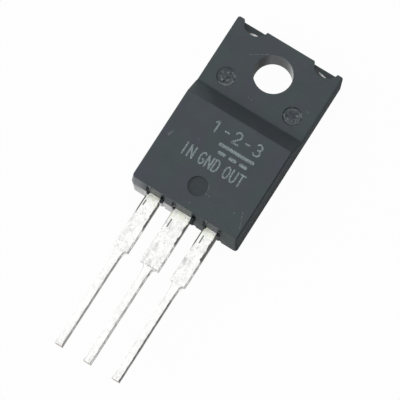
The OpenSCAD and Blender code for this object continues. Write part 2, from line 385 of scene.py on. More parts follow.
def resinShadows(shade, settings):
    # where the moulding looks darker: the dimple, the grooves by the leads, the left of the hole,
    # most of the step, and the right walls, above all near the front and below the parting plane
    x, y = dimple["place"]
    rim = moved(settings["dimple"]["rim"], dimple["radius"])
    inDimple = shade.fall(distance(shade.x - x, shade.y - y), *rim) * settings["dimple"]["strength"]
    low, high = settings["groove"]["side"]
    fromGroove = shade.smaller(*[abs(shade.x - middle) for middle in grooveMiddles])
    inGroove = shade.fall(fromGroove, grooveRadius * low, grooveRadius * high)
    inGroove = inGroove * zone(shade, settings["groove"])
    hole = settings["hole"]
    toLeft = shade.x * hole["towards"][0] + shade.y * hole["towards"][1]
    inHole = insideHole(shade) * shade.step(toLeft, *hole["reach"]) * hole["strength"]
    slope = settings["slopeEdge"]
    edge = shade.x + shade.noise(0.8) * slope["noise"] + (shade.z - tabTop) * slope["lean"]
    onSlope = shade.step(edge, *slope["left"]) * zone(shade, settings["slope"])
    wallDark = settings["wallBase"] + zone(shade, settings["nearFront"])
    onWall = zone(shade, settings["wall"]) * (wallDark + zone(shade, settings["aboveTab"]))
    lowDark = settings["lowWallBase"] - zone(shade, settings["lowWallLoss"])
    lowWall = zone(shade, settings["lowWall"]) * lowDark
    return shade.larger(inDimple, inGroove, inHole, onSlope, onWall, lowWall)


# Polish: where the mould was smooth
polishSettings = {
    "end": {"fromEnd": [(-0.02, 0.0), (0.22, 0.18)]},
    "low": {"z": [(2.55, 2.4)], "x": [(0.9, -1.6)]},
    "high": {"z": [(4.42, 4.3)]},
    "leadSide": (0.6, 0.75),
    "outerLead": (3.4, 3.6),
    "overLeads": {"z": [(2.9, 3.05)], "strength": 0.5},
    "farLeft": {"x": [(-3.2, -4.2)], "strength": 0.35},
    "hole": {"x": [(0.2, 1.5)], "strength": 0.55},
    "holeLeast": 0.10,
}


def resinPolish(shade, settings):
    # the lead end low down on the left, above the leads and at the far left, and the wall of the
    # hole, above all on its right
    atEnd = zone(shade, settings["end"])
    overLead = shade.fall(abs(leadOffset(shade)), *settings["leadSide"])
    overLead = overLead * shade.fall(abs(shade.x), *settings["outerLead"])
    overLead = overLead * zone(shade, settings["overLeads"])
    high = zone(shade, settings["high"]) * shade.larger(overLead, zone(shade, settings["farLeft"]))
    shine = zone(shade, settings["hole"]) + settings["holeLeast"]
    return shade.larger(atEnd * zone(shade, settings["low"]), atEnd * high, insideHole(shade) * shine)


# Moulding compound. Patches are given as their size in millimetres, the detail and roughness of
# their noise, and the levels between which they rise. Roughness is given as its level and spread
# and then its noise.
resinSettings = {
    "colour": (0.062, 0.077, 0.083),
    "cloudColour": (0.070, 0.076, 0.093),
    "clouds": (1.6, 4.0, 0.6, 0.38, 0.68),
    "driftColour": (0.067, 0.085, 0.087),
    "drift": (2.6, 3.0, 0.6, 0.42, 0.62),
    "driftStretch": (1.0, 1.2, 0.9),
    "driftStrength": 0.8,
    # the dark colour paints the shadows, the shaded rings and the right pocket's resin, and dark wear
    # too
    "darkColour": (0.022, 0.026, 0.030),
    # the scuff colour also paints the highlight ring of the ejector marks
    "scuffAndHighlightColour": (0.21, 0.235, 0.235),
    "scuffAndHighlightStrength": 0.8,
    "flecks": (0.16, 2.0, 0.4, 0.66, 0.76),
    "fleckStrength": 0.2,
    "breaks": (0.12, 2.0, 0.6, 0.42, 0.62),
    "roughness": (0.50, 0.14, 0.5, 3.0, 0.6),
    "dullWall": {"x": [(4.5, 4.6)], "strength": 0.4},
    "dullEnd": {"fromEnd": [(0.22, 0.18)], "x": [(0.4, 1.4)], "strength": 0.12},
    "dullHole": {"x": [(-0.9, -1.5)], "strength": 0.4},
    "grain": (0.07, 3.0, 0.65),
    "grainDepth": 0.007,
    "scratchSoft": 0.035,
    "scratches": [
        (-4.01, -8.71, -3.83, -8.14, 0.018), (-4.12, -8.66, -3.98, -8.30, 0.010),
        (-2.37, 0.38, -1.78, 0.77, 0.004), (-1.74, 0.80, -1.10, 1.18, 0.006),
        (-0.61, -2.53, -0.59, -2.50, 0.050), (-0.36, -2.59, -0.35, -2.57, 0.030),
        (2.70, -0.14, 2.76, -0.10, 0.055), (3.68, -1.14, 3.96, -1.21, 0.006),
        (-1.88, -7.74, -1.80, -7.86, 0.018), (0.67, -10.38, 0.82, -10.80, 0.012),
        (0.82, -10.80, 0.76, -11.10, 0.008), (0.76, -11.10, 1.22, -11.13, 0.002),
        (0.17, -12.43, 0.10, -12.30, 0.020), (2.45, -12.46, 2.47, -12.44, 0.030),
        (3.95, -10.80, 4.40, -12.00, 0.012), (3.41, -11.22, 3.43, -11.20, 0.022),
    ],
}


def resinDullness(shade, settings):
    # added roughness: the right walls, the right of the lead end and the left of the hole
    inHole = insideHole(shade) * zone(shade, settings["dullHole"])
    return shade.larger(zone(shade, settings["dullWall"]), zone(shade, settings["dullEnd"]), inHole)


def makeResin(name, settings, marked):
    # fine grain, faint clouds, pale specks and handling scratches, the painted shadows, and where it
    # is marked the wear of the ejector marks with their rings of painted shade and highlight
    shade = Shade(name)
    scratches = strokesMask(shade, settings["scratches"], settings["scratchSoft"])
    flecks = shade.patches(*settings["flecks"]) * settings["fleckStrength"]
    worn = shade.larger(flecks, scratches) * shade.patches(*settings["breaks"])
    darkWearAndShade = resinShadows(shade, shadowSettings)
    if marked:
        paleSpotsAndHighlight, darkSpotsAndShade = markWearAndRingLight(shade, ejectorSettings)
        # the pale spots bring in the painted highlight ring, and the dark ones the painted shade ring
        worn = shade.larger(worn, paleSpotsAndHighlight)
        darkWearAndShade = shade.larger(darkWearAndShade, darkSpotsAndShade)
    clouds = shade.patches(*settings["clouds"])
    colour = shade.blend(clouds, settings["colour"], settings["cloudColour"])
    drift = shade.patches(*settings["drift"], shade.stretched(settings["driftStretch"]))
    colour = shade.blend(drift * settings["driftStrength"], colour, settings["driftColour"])
    colour = shade.blend(darkWearAndShade, colour, settings["darkColour"])
    colour = shade.blend(worn * settings["scuffAndHighlightStrength"], colour, settings["scuffAndHighlightColour"])
    normal = shade.bump(shade.noise(*settings["grain"]), settings["grainDepth"])
    return shade.finish(
        Base_Color=colour,
        Roughness=shade.uneven(*settings["roughness"]) + resinDullness(shade, settings),
        Normal=normal,
        Specular_IOR_Level=0.2,
        Coat_Weight=resinPolish(shade, polishSettings),
        Coat_Roughness=0.12,
        Coat_IOR=1.5,
    )


# Tinned leads and the plate in the pockets, with patches and roughness given as for the resin
tinSettings = {
    "colour": (0.885, 0.89, 0.87),
    "roughness": (0.36, 0.24, 0.6, 4.0, 0.6),
    "drawn": (1.0, 0.5, 1.0),
    "ripples": (0.3, 2.0, 0.5),
    "rippleDepth": 0.04,
    "root": (-0.3, -0.1),
    "tintColour": (0.86, 0.90, 0.66),
    "tint": {"patches": (0.4, 3.0, 0.6, 0.35, 0.62), "reach": (0.3, 1.0), "strength": 0.55},
    "greyColour": (0.42, 0.43, 0.44),
    "veins": {"stretch": (1.0, 0.6, 1.0), "width": (0.0, 0.035), "strength": 0.75},
    "veined": (0.6, 3.0, 0.5, 0.42, 0.60),
    "greyPatches": (0.45, 6.0, 0.75, 0.48, 0.66),
    "leftSide": (-0.35, 0.15),
    "greyStrength": (0.35, 0.75),
    "thin": (0.0, 0.9),
    "thinLoss": 0.5,
    "grit": {
        "patches": (0.13, 3.0, 0.6, 0.50, 0.64), "strength": 0.8, "leftStrength": 0.55,
        "root": (1.2, 2.6), "rootStrength": 0.5,
        "tip": (-1.1, -0.3), "tipStrength": 0.9,
    },
    # colour of the painted shade on the leads' walls
    "wallShadeColour": (0.06, 0.06, 0.055),
    "cutColour": (0.40, 0.31, 0.26),
    "cut": (-0.008, -0.004),
    "slitColour": (0.06, 0.06, 0.05),
    "slitStrength": 0.85,
    "slitSoft": 0.05,
    "slits": [
        (-2.95, -13.61, -2.96, -14.03, 0.025), (-0.50, -13.87, -0.50, -14.51, 0.030),
        (2.23, -13.67, 2.24, -14.26, 0.030),
    ],
}


# Sheared edges of the leads, partly dull metal and partly painted shade of the right walls, in
# millimetres out from the body and across the lead
edgeSettings = {
    "dipped": (2.6, 3.2),
    "dipLean": 0.5,
    "thinStart": (0.3, 0.5),
    "wornStart": (0.3, 1.8),
    "middleLead": (0.95, 1.05),
    "rightLead": (1.2, 1.4),
    "thinCoat": 0.02,
    "reach": 0.01,
    "bareReach": {"left": 0.13, "right": 0.19},
    "wornReach": {"left": 0.06, "right": 0.09},
    "wornReachMiddle": 0.03,
    "ragged": 0.34,
    "raggedWornLoss": 0.16,
    "band": (-0.03, 0.03),
    "bandStrength": {"base": 0.7, "bare": 0.25, "wornRight": 0.15},
    "leftLine": (0.07, 0.12),
    "leftLineEnd": (1.4, 2.2),
    "leftLineStrength": 0.95,
    "leftLineMiddleLoss": 0.6,
    "underside": (-0.12, -0.03),
    "undersideStart": (0.0, 0.1),
    "undersideStrength": 0.6,
}


def wallShade(shade, settings, out):
    # The sheared right edges get a dark, ragged band, partly dull metal and partly painted shade: a
    # broad band by the body, hardly any where the solder covers the wide part, and a band on the thin
    # part. It is broadest on the right lead. The left edges only have a thin dark line, by the body.
    # Painted shade darkens the right walls lower down.
    fromMiddle = leadOffset(shade)
    wideLength = leadShape["wideLength"]
    bare = shade.fall(out + fromMiddle * settings["dipLean"], *settings["dipped"])
    thin = shade.step(out, *moved(settings["thinStart"], wideLength))
    worn = shade.step(out, *moved(settings["wornStart"], wideLength))
    onMiddle = shade.fall(abs(shade.x), *settings["middleLead"])
    onRight = shade.step(shade.x, *settings["rightLead"])

    outerHalf = leadShape["wideOuter"] / 2
    wideHalf = onMiddle * (leadShape["wideMiddle"] / 2 - outerHalf) + outerHalf
    thinHalf = leadShape["thin"] / 2 + settings["thinCoat"]
    half = wideHalf + (thinHalf - wideHalf) * thin

    wornReach = between(onRight, settings["wornReach"]) - onMiddle * settings["wornReachMiddle"]
    reach = bare * between(onRight, settings["bareReach"]) + worn * wornReach + settings["reach"]
    ragged = shade.noise(0.22, 5.0, 0.65, shade.stretched(tinSettings["drawn"])) - 0.5
    ragged = ragged * (settings["ragged"] - worn * settings["raggedWornLoss"])
    band = shade.fall(half - fromMiddle + ragged - reach, *settings["band"])
    part = settings["bandStrength"]
    band = band * (part["base"] + bare * part["bare"] + onRight * worn * part["wornRight"])

    leftLine = shade.fall(half + fromMiddle, *settings["leftLine"])
    leftLine = leftLine * shade.fall(out, *settings["leftLineEnd"])
    leftLine = leftLine * (1 - onMiddle * settings["leftLineMiddleLoss"])

    shadedLow = shade.fall(shade.z, *moved(settings["underside"], leadHigh[2])) * (bare * 0.5 + 0.5)
    shadedLow = shadedLow * shade.step(fromMiddle, *settings["undersideStart"])
    shadedLow = shadedLow * settings["undersideStrength"]
    shaded = shade.larger(band, leftLine * settings["leftLineStrength"], shadedLow)
    return shaded * shade.step(out, *tinSettings["root"])


# Resin that crept over the plate in the pockets, painted darker as shade and darker still in the
# right pocket, and painted shade that dims the bare ovals
bleedAndShadeSettings = {
    "leftShadeColour": (0.036, 0.044, 0.046),
    "rightShadeColour": resinSettings["darkColour"],
    "ovalPlace": (3.085, 2.14),
    "ovalDrift": 0.016,
    "ovalSize": (0.34, 0.10),
    "ovalTilt": 0.13,
    "ovalRim": (0.85, 1.1),
    # painted shade over the bare ovals
    "ovalShade": {"left": 0.30, "right": 0.38},
    "ovalLeftShade": 0.3,
    "ovalLeftShadeEdge": (-0.2, 0.12),
    "start": (1.5, 1.6),
}


def bleedAndShadeMask(shade, settings, onRight):
    # all but an oval in each pocket is covered with resin, and painted shade dims the ovals, more on
    # the left side of each and more in the right pocket
    x, y = settings["ovalPlace"]
    width, height = settings["ovalSize"]
    drift = shade.x * settings["ovalDrift"]
    u = abs(shade.x) - x - drift
    v = shade.y - y - drift + u * settings["ovalTilt"]
    fromOval = distance(u / width, v / height)
    fromOvalMiddle = shade.x + x - onRight * (2 * x)
    ovalLeftShading = shade.fall(fromOvalMiddle, *settings["ovalLeftShadeEdge"]) * settings["ovalLeftShade"]
    ovalShade = ovalLeftShading + between(onRight, settings["ovalShade"])
    coveredAndShaded = shade.larger(shade.step(fromOval, *settings["ovalRim"]), ovalShade)
    return coveredAndShaded * shade.step(shade.y, *settings["start"])


def greyMask(shade, settings, out, tipOut):
    # veins, patches that are stronger on the left side, and grit at the root and the tip
    veins = settings["veins"]
    fromVein = abs(shade.noise(0.55, 6.0, 0.68, shade.stretched(veins["stretch"])) - 0.5)
    veined = shade.fall(fromVein, *veins["width"]) * shade.patches(*settings["veined"])
    leftSide = shade.fall(leadOffset(shade), *settings["leftSide"])
    thin = shade.step(out, *moved(settings["thin"], leadShape["wideLength"]))
    patches = shade.patches(*settings["greyPatches"], shade.stretched(settings["drawn"]))
    least, most = settings["greyStrength"]
    patches = patches * (leftSide * (most - least) + least)
    grey = shade.larger(veined * veins["strength"], patches) * (1 - thin * settings["thinLoss"])
    grit = settings["grit"]
    gritty = shade.larger(
        leftSide * (1 - thin) * grit["leftStrength"],
        shade.fall(out, *grit["root"]) * grit["rootStrength"],
        shade.step(out, *moved(grit["tip"], tipOut)) * grit["tipStrength"],
    )
    return shade.larger(grey, shade.patches(*grit["patches"]) * gritty * grit["strength"])


def makeTin(settings):
    # yellowish by the body, white and veined where it was dipped in solder, bare copper at the cut,
    # with painted shade on the right walls and over the resin in the pockets
    shade = Shade("tinnedCopper")
    out = bodyLow[1] - shade.y
    tipOut = bodyLow[1] - leadLow[1]
    tint = settings["tint"]
    tinted = shade.step(out, *settings["root"]) * shade.fall(out, *tint["reach"]) * tint["strength"]
    tinted = tinted * shade.patches(*tint["patches"])
    cut = shade.step(out, *moved(settings["cut"], tipOut))
    slits = strokesMask(shade, settings["slits"], settings["slitSoft"]) * settings["slitStrength"]
    grey = greyMask(shade, settings, out, tipOut)
    colour = shade.blend(grey, settings["colour"], settings["greyColour"])
    colour = shade.blend(tinted, colour, settings["tintColour"])
    # painted shade on the leads' right walls and edges
    colour = shade.blend(wallShade(shade, edgeSettings, out), colour, settings["wallShadeColour"])
    colour = shade.blend(slits, colour, settings["slitColour"])
    colour = shade.blend(cut, colour, settings["cutColour"])
    onRight = shade.step(shade.x, -0.1, 0.1)
    bleedAndShade = bleedAndShadeMask(shade, bleedAndShadeSettings, onRight)
    # painted shade: the pocket resin is darker than the body, darker still in the right pocket
    bleedShadeColour = shade.blend(onRight, bleedAndShadeSettings["leftShadeColour"], bleedAndShadeSettings["rightShadeColour"])
    colour = shade.blend(bleedAndShade, colour, bleedShadeColour)
    rough = shade.uneven(*settings["roughness"])
    ripples = shade.noise(*settings["ripples"], shade.stretched(settings["drawn"]))
    normal = shade.bump(ripples, settings["rippleDepth"])
    return shade.finish(Base_Color=colour, Roughness=rough, Normal=normal, Metallic=1 - bleedAndShade)


# Inner pieces: the polished die with faint bands of its circuit, the solder under it, the wires
innerSettings = {
    "silicon": {
        "colours": ((0.05, 0.055, 0.075), (0.12, 0.11, 0.13)),
        "pattern": (0.25, 2.0, 0.5),
        "levels": (0.45, 0.55),
        "roughness": (0.2, 0.2, 0.3),
        "metallic": 0.3,
    },
    "dieSolder": {
        "colours": ((0.30, 0.31, 0.33), (0.52, 0.53, 0.55)),
        "pattern": (0.3, 4.0, 0.6),
        "roughness": (0.45, 0.3, 0.2),
        "metallic": 1.0,
    },
    "bondAluminium": {
        "colours": ((0.72, 0.73, 0.75), (0.86, 0.87, 0.88)),
        "pattern": (0.1, 2.0, 0.5),
        "roughness": (0.3, 0.2, 0.1),
        "metallic": 1.0,
    },
}


def makeInner(name, settings):
    shade = Shade(name)
    pattern = shade.noise(*settings["pattern"])
    if "levels" in settings:
        pattern = shade.step(pattern, *settings["levels"])
    colour = shade.blend(pattern, *settings["colours"])
    rough = shade.uneven(*settings["roughness"])
    return shade.finish(Base_Color=colour, Roughness=rough, Metallic=settings["metallic"])


inkSettings = {
    "colour": (0.31, 0.38, 0.40),
    "wornColour": (0.12, 0.15, 0.16),
    "wear": (0.11, 3.0, 0.7, 0.42, 0.62),
    "roughness": (0.6, 0.2, 0.2),
}


def makeInk(settings):
    # print: pale grey, broken by the grain of the resin
    shade = Shade("printInk")
    colour = shade.blend(shade.patches(*settings["wear"]), settings["wornColour"], settings["colour"])
    return shade.finish(Base_Color=colour, Roughness=shade.uneven(*settings["roughness"]))


resin = makeResin("mouldEpoxy", resinSettings, False)
roughResin = makeResin("mouldEpoxyRough", resinSettings, True)
tin = makeTin(tinSettings)
silicon, solder, wire = [makeInner(name, settings) for name, settings in innerSettings.items()]
ink = makeInk(inkSettings)
print("materials made")


def linkMesh(name, mesh, material):
    # a finished piece: one material, rides on the part
    mesh.materials.clear()
    mesh.materials.append(material)
    piece = bpy.data.objects.new(name, mesh)
    bpy.context.scene.collection.objects.link(piece)
    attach(piece, "root")
    return piece


def gridMesh(name, points, closed=False):
    # points[i, j] is the surface at ring i, step j. Quads join each ring to the next, all the way
    # round it. The last ring of a closed shape joins the first, and otherwise both get a cap face.
    rings, steps = points.shape[:2]
    index = np.arange(rings * steps).reshape(rings, steps)
    here = index if closed else index[:-1]
    there = np.roll(index, -1, axis=0) if closed else index[1:]
    quads = [here, np.roll(here, -1, axis=1), np.roll(there, -1, axis=1), there]
    faces = np.stack(quads, axis=-1).reshape(-1, 4).tolist()
    if not closed:
        faces += [index[0][::-1].tolist(), index[-1].tolist()]
    mesh = bpy.data.meshes.new(name)
    mesh.from_pydata((points.reshape(-1, 3) * mm).tolist(), [], faces)
    return mesh


def outwards(mesh, sharpAngle):
    # points the faces outwards and smooths all edges flatter than the given angle
    shell = bmesh.new()
    shell.from_mesh(mesh)
    bmesh.ops.recalc_face_normals(shell, faces=shell.faces)
    shell.to_mesh(mesh)
    shell.free()
    mesh.shade_smooth()
    mesh.set_sharp_from_angle(angle=math.radians(sharpAngle))
    return mesh


# Moulded body: the CAD shape with its outer edges rounded
bodySettings = {
    "edgeRadius": 0.05,
    "segments": 3,
    "sharpAngle": 40,
    "flatAngle": 1,
    "skin": 0.03,
    "inkSeat": 0.012,
    "tabEnd": -5,
    "leadMargin": 0.25,
    "leadHeights": (0.05, 0.1),
    "farCorner": (0.16, 0.3),
    "holeMargin": 0.15,
    "dimpleMargin": 0.1,
}


def roundedBody(settings):
    # A copy of the node is merged into one skin, flat faces are joined and then split down the
    # middle plane, so that none has a hole in it. The front sinks a hair, so that the print on it
    # ends at the node's height. The sharp edges that lie on the outside are bevelled, and those
    # round the leads and inside the cavity stay as they are.
    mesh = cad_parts["mould_body"].data.copy()
    skin = bmesh.new()
    skin.from_mesh(mesh)
    bmesh.ops.remove_doubles(skin, verts=skin.verts, dist=weldDistance * mm)
    flat = math.radians(settings["flatAngle"])
    bmesh.ops.dissolve_limit(skin, angle_limit=flat, verts=skin.verts, edges=skin.edges)
    everything = [*skin.verts, *skin.edges, *skin.faces]
    bmesh.ops.bisect_plane(skin, geom=everything, plane_co=(0, 0, 0), plane_no=(1, 0, 0))
    for vert in skin.verts:
        if vert.co.z / mm > bodyHigh[2] - settings["skin"]:
            vert.co.z -= settings["inkSeat"] * mm
    sharp = math.radians(settings["sharpAngle"])
    chosen = []
    for edge in skin.edges:
        if len(edge.link_faces) == 2 and edge.calc_face_angle() > sharp:
            x, y, z = (edge.verts[0].co + edge.verts[1].co) / 2 / mm
            if onOutside(x, y, z, settings):
                chosen.append(edge)
    radius = settings["edgeRadius"] * mm
    bmesh.ops.bevel(skin, geom=chosen, offset=radius, segments=settings["segments"], profile=0.5,
                    affect="EDGES", clamp_overlap=False, loop_slide=True)
    skin.to_mesh(mesh)
    skin.free()
    mesh.shade_smooth()
    mesh.set_sharp_from_angle(angle=sharp)
    evenNormals(mesh, math.cos(sharp))
    print("body edges rounded:", len(chosen), "faces:", len(mesh.polygons))
    return mesh


def evenNormals(mesh, limit):
    # A corner's normal is the mean of those of the faces at its vertex that lean less than the
    # limit from its own face, weighted by the fourth power of their areas: flat faces stay flat
    around = [[] for _ in mesh.vertices]
    for face in mesh.polygons:
        for index in face.vertices:
            around[index].append(face)
    normals = []
    for face in mesh.polygons:
        for index in face.vertices:
            near = [other for other in around[index] if other.normal.dot(face.normal) > limit]
            shares = [(other.area / mm ** 2) ** 4 * np.array(other.normal) for other in near]
            total = sum(shares, np.zeros(3))
            normals.append(total / max(np.linalg.norm(total), 1e-30))
    mesh.normals_split_custom_set(normals)


def onOutside(x, y, z, settings):
    # true for the edges of the front, the back and the far corners, but not for those of the lead
    # end, the hole's front rim and the dimple
    skin = settings["skin"]
    fromBack, fromFront = settings["leadHeights"]
    width, length = settings["farCorner"]
    nearLeads = abs(y - bodyLow[1]) < settings["leadMargin"]
    nearLeads = nearLeads and fromBack < z < bodyHigh[2] - fromFront
    onFront = z > bodyHigh[2] - skin or (y > settings["tabEnd"] and z > tabTop - skin)
    onBack = z < skin
    onSide = abs(x) > bodyHigh[0] - width and abs(y - bodyHigh[1]) < length
    nearHole = math.hypot(x, y) < holeRadius + settings["holeMargin"] and z > 1
    fromDimple = math.hypot(x - dimple["place"][0], y - dimple["place"][1])
    nearDimple = fromDimple < dimple["radius"] + settings["dimpleMargin"]
    return (onFront or onBack or onSide) and not (nearLeads or nearHole or nearDimple)


def makeBody(settings):
    body = linkMesh("mouldedBody", roundedBody(settings), resin)
    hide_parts("mould_body")


makeBody(bodySettings)
print("body made")


# Solder coat: what the leads picked up when they were dipped
coatSettings = {
    "start": 2.3,
    "taper": 0.6,
    "coat": 0.02,
    "waves": ((0.15, 1.7), (0.2, 5.1)),
    "cornerRadius": 0.14,
    "crown": 0.035,
    "burr": 0.035,
    "burrLength": 0.3,
    "bareTip": 0.012,
    "shoulderRadius": 0.28,
    "filletLength": 1.1,
    "filletFade": 2.5,
    "fillet": 0.10,
    "stations": 300,
    "cornerSteps": 6,
    "sharpAngle": 60,
}


def leadHalfWidth(out, wide, settings):
    # half the lead's width at a distance out from the body: wide, then a quarter-circle corner
    # of radius r, then thin, with a web of solder that dies away along the thin part
    thin = leadShape["thin"] / 2
    r = settings["shoulderRadius"]
    past = out - leadShape["wideLength"]
    drop = np.clip(past / r, 0, 1)
    corner = thin + r * (1 - np.sqrt(1 - (1 - drop) ** 2))
    fade = -np.clip(past, 0, None) / settings["filletLength"] * settings["filletFade"]
    web = settings["fillet"] * np.exp(fade)
    return np.where(past < 0, wide / 2, np.minimum(corner + web, wide / 2))


def coatPoints(middle, wide, settings):
    # A rounded rectangle is carried along the lead. Its half width and half height are the lead's
    # own plus the coat, which tapers in at the start and swells and thins in slow waves. A crown
    # lifts the two broad faces in their middle. The cut left a burr at the tip, and its bare face
    # stands a hair out of the coat.
    tipOut = bodyLow[1] - leadLow[1] - settings["bareTip"]
    share = np.linspace(0, 1, settings["stations"])
    out = settings["start"] + (tipOut - settings["start"]) * share
    (slow, slowRate), (quick, quickRate) = settings["waves"]
    waves = 1 + slow * np.sin(out * slowRate + middle) + quick * np.sin(out * quickRate + 2 * middle)
    tapered = np.clip((out - settings["start"]) / settings["taper"], 0.02, 1) ** 0.5
    coat = settings["coat"] * tapered * waves
    burr = settings["burr"] * np.clip((out - tipOut) / settings["burrLength"] + 1, 0, 1)
    halfWidth = leadHalfWidth(out, wide, settings) + coat + burr
    halfHeight = (leadHigh[2] - leadLow[2]) / 2 + coat
    radius = settings["cornerRadius"]
    turn = np.linspace(0, math.pi / 2, settings["cornerSteps"])
    turns = np.concatenate([turn + quarter * math.pi / 2 for quarter in range(4)])
    sideX = np.repeat([1, -1, -1, 1], settings["cornerSteps"])
    sideZ = np.repeat([1, 1, -1, -1], settings["cornerSteps"])
    x = sideX * (halfWidth[:, None] - radius) + radius * np.cos(turns)
    z = sideZ * (halfHeight[:, None] - radius) + radius * np.sin(turns)
    z = z + settings["crown"] * sideZ * (1 - (x / halfWidth[:, None]) ** 2)
    y = np.broadcast_to((bodyLow[1] - out)[:, None], x.shape)
    centreZ = (leadHigh[2] + leadLow[2]) / 2
    return np.stack([x + middle - burr[:, None], y, z + centreZ], axis=-1)


def makeCoats(settings):
    leads = (
        ("inputLeadSolder", -leadPitch, leadShape["wideOuter"]),
        ("groundLeadSolder", 0.0, leadShape["wideMiddle"]),
        ("outputLeadSolder", leadPitch, leadShape["wideOuter"]),
    )
    for name, middle, wide in leads:
        mesh = gridMesh(name, coatPoints(middle, wide, settings))
        linkMesh(name, outwards(mesh, settings["sharpAngle"]), tin)


makeCoats(coatSettings)
print("solder coats made")


# Print: plain pin numbers, a direct-current sign and the pins' functions
printSettings = {
    "right": 2.72,
    "pinNumbers": {
        "left": -1.54, "base": -6.63, "height": 0.95, "stroke": 0.135,
        "text": "1-2-3", "letterWidth": 0.62, "gap": 0.31,
    },
    "currentSign": {
        "left": -0.42, "base": -8.03, "height": 0.94, "stroke": 0.27,
        "lift": 0.08, "halfDash": 0.22,
    },
    "pinFunctions": {
        "left": -2.65, "base": -9.34, "height": 0.94, "stroke": 0.135,
        "text": "IN GND OUT", "letterWidth": 0.44, "gap": 0.14, "space": 0.34,
    },
    "stagger": 0.0004,
    "depth": 0.02,
    "spacing": 0.02,
    "sharpAngle": 40,
}


def arc(centreX, centreY, radiusX, radiusY, start, end):
    # points on an ellipse from one angle to another, in degrees
    turn = np.radians(np.linspace(start, end, 25))
    return np.stack([centreX + radiusX * np.cos(turn), centreY + radiusY * np.sin(turn)], axis=-1)


def line(*points):
    return np.array(points, float)


# each glyph is a list of strokes in a box that is 1 wide and 1 high
glyphs = {
    "1": [line((0.2, 0.76), (0.55, 1), (0.55, 0))],
    "2": [np.concatenate([arc(0.5, 0.71, 0.42, 0.29, 165, -35), line((0.06, 0), (0.96, 0))])],
    "3": [arc(0.46, 0.75, 0.38, 0.25, 150, -90), arc(0.46, 0.26, 0.44, 0.26, 90, -150)],
    "-": [line((0.25, 0.48), (0.75, 0.48))],
    "I": [line((0.5, 0), (0.5, 1))],
    "N": [line((0.06, 0), (0.06, 1)), line((0.06, 1), (0.94, 0)), line((0.94, 0), (0.94, 1))],
    "G": [np.concatenate([arc(0.5, 0.5, 0.46, 0.5, 48, 330), line((0.93, 0.44), (0.58, 0.44))])],
    "D": [
        line((0.08, 0), (0.08, 1)),
        np.concatenate([line((0.08, 1), (0.4, 1)), arc(0.42, 0.5, 0.5, 0.5, 90, -90), line((0.08, 0))]),
    ],
    "O": [arc(0.5, 0.5, 0.46, 0.5, 90, 450)],
    "U": [np.concatenate([line((0.07, 1)), arc(0.5, 0.36, 0.43, 0.36, 180, 360), line((0.93, 1))])],
    "T": [line((0.5, 0), (0.5, 1)), line((0.04, 1), (0.96, 1))],
}


def sideways(way):
    # unit steps to the left of each direction
    way = way / np.hypot(way[:, 0], way[:, 1])[:, None]
    return np.stack([-way[:, 1], way[:, 0]], axis=-1)


def sectionPoints(left, right, low, high):
    # four points round each section of a stroke: left and right at the top, right and left below
    flat = np.stack([left, right, right, left], axis=1)
    height = np.broadcast_to(np.array([high, high, low, low]), flat.shape[:2])
    return np.concatenate([flat, height[..., None]], axis=-1)


def loopPoints(path, halfWidth, low, high):
    # a closed stroke: the path's points run round once
    path = path[:-1]
    side = sideways(np.roll(path, -1, axis=0) - np.roll(path, 1, axis=0)) * halfWidth
    return sectionPoints(path + side, path - side, low, high)


def ribbonPoints(path, halfWidth, low, high, spacing):
    # a stroke with round ends: the path is cut into even steps and run on by half its width at
    # both ends, where the width follows a half circle
    steps = np.hypot(*np.diff(path, axis=0).T)
    length = np.concatenate([[0], np.cumsum(steps)])
    count = max(int(length[-1] / spacing), 2)
    along = np.linspace(0, length[-1], count)
    middle = np.stack([np.interp(along, length, path[:, k]) for k in range(2)], axis=-1)
    ease = np.linspace(0, 1, 7)[:-1]
    startWay = middle[0] - middle[1]
    endWay = middle[-1] - middle[-2]
    startWay = startWay / np.hypot(*startWay)
    endWay = endWay / np.hypot(*endWay)
    reach = (halfWidth * (1 - ease))[:, None]
    startCap = middle[0] + startWay * reach
    endCap = (middle[-1] + endWay * reach)[::-1]
    middle = np.concatenate([startCap, middle, endCap])
    taper = np.sqrt(np.clip(1 - (1 - ease) ** 2, 0.002, 1))
    width = halfWidth * np.concatenate([taper, np.ones(count), taper[::-1]])
    side = sideways(np.gradient(middle, axis=0)) * width[:, None]
    return sectionPoints(middle + side, middle - side, low, high)


def strokesMesh(name, strokes, stroke, settings):
    # every stroke lies a hair lower than the one before, so that crossings don't fight
    low = bodyHigh[2] - settings["depth"]
    mesh = bpy.data.meshes.new(name)
    joined = bmesh.new()
    for number, path in enumerate(strokes):
        high = bodyHigh[2] - settings["stagger"] * number
        closed = np.allclose(path[0], path[-1])
        if closed:
            points = loopPoints(path, stroke / 2, low, high)
        else:
            points = ribbonPoints(path, stroke / 2, low, high, settings["spacing"])
        part = gridMesh(name, points, closed)
        joined.from_mesh(part)
        bpy.data.meshes.remove(part)
    joined.to_mesh(mesh)
    joined.free()
    return outwards(mesh, settings["sharpAngle"])


def textStrokes(row, right):
    # sets the glyphs from the left edge of the row and stretches the whole to reach the right edge
    placed = []
    x = 0.0
    for letter in row["text"]:
        if letter == " ":
            x += row["space"]
            continue
        placed += [(glyph, x) for glyph in glyphs[letter]]
        x += row["letterWidth"] + row["gap"]
    stretch = (right - row["left"]) / (x - row["gap"])
    strokes = []
    for glyph, offset in placed:
        across = row["left"] + (offset + glyph[:, 0] * row["letterWidth"]) * stretch
        up = row["base"] + glyph[:, 1] * row["height"]
        strokes.append(np.stack([across, up], axis=-1))
    return strokes


def currentStrokes(row, right):
    # a long bar over three short ones
    inset = row["stroke"] / 2
    top = row["base"] + row["height"] - inset
    low = row["base"] + inset + row["lift"]
    left = row["left"] + inset
    right = right - inset
    third = (right - left) / 3
    bars = [line((left, top), (right, top))]
    for k in range(3):
        middle = left + (k + 0.5) * third
        half = row["halfDash"] * third
        bars.append(line((middle - half, low), (middle + half, low)))
    return bars


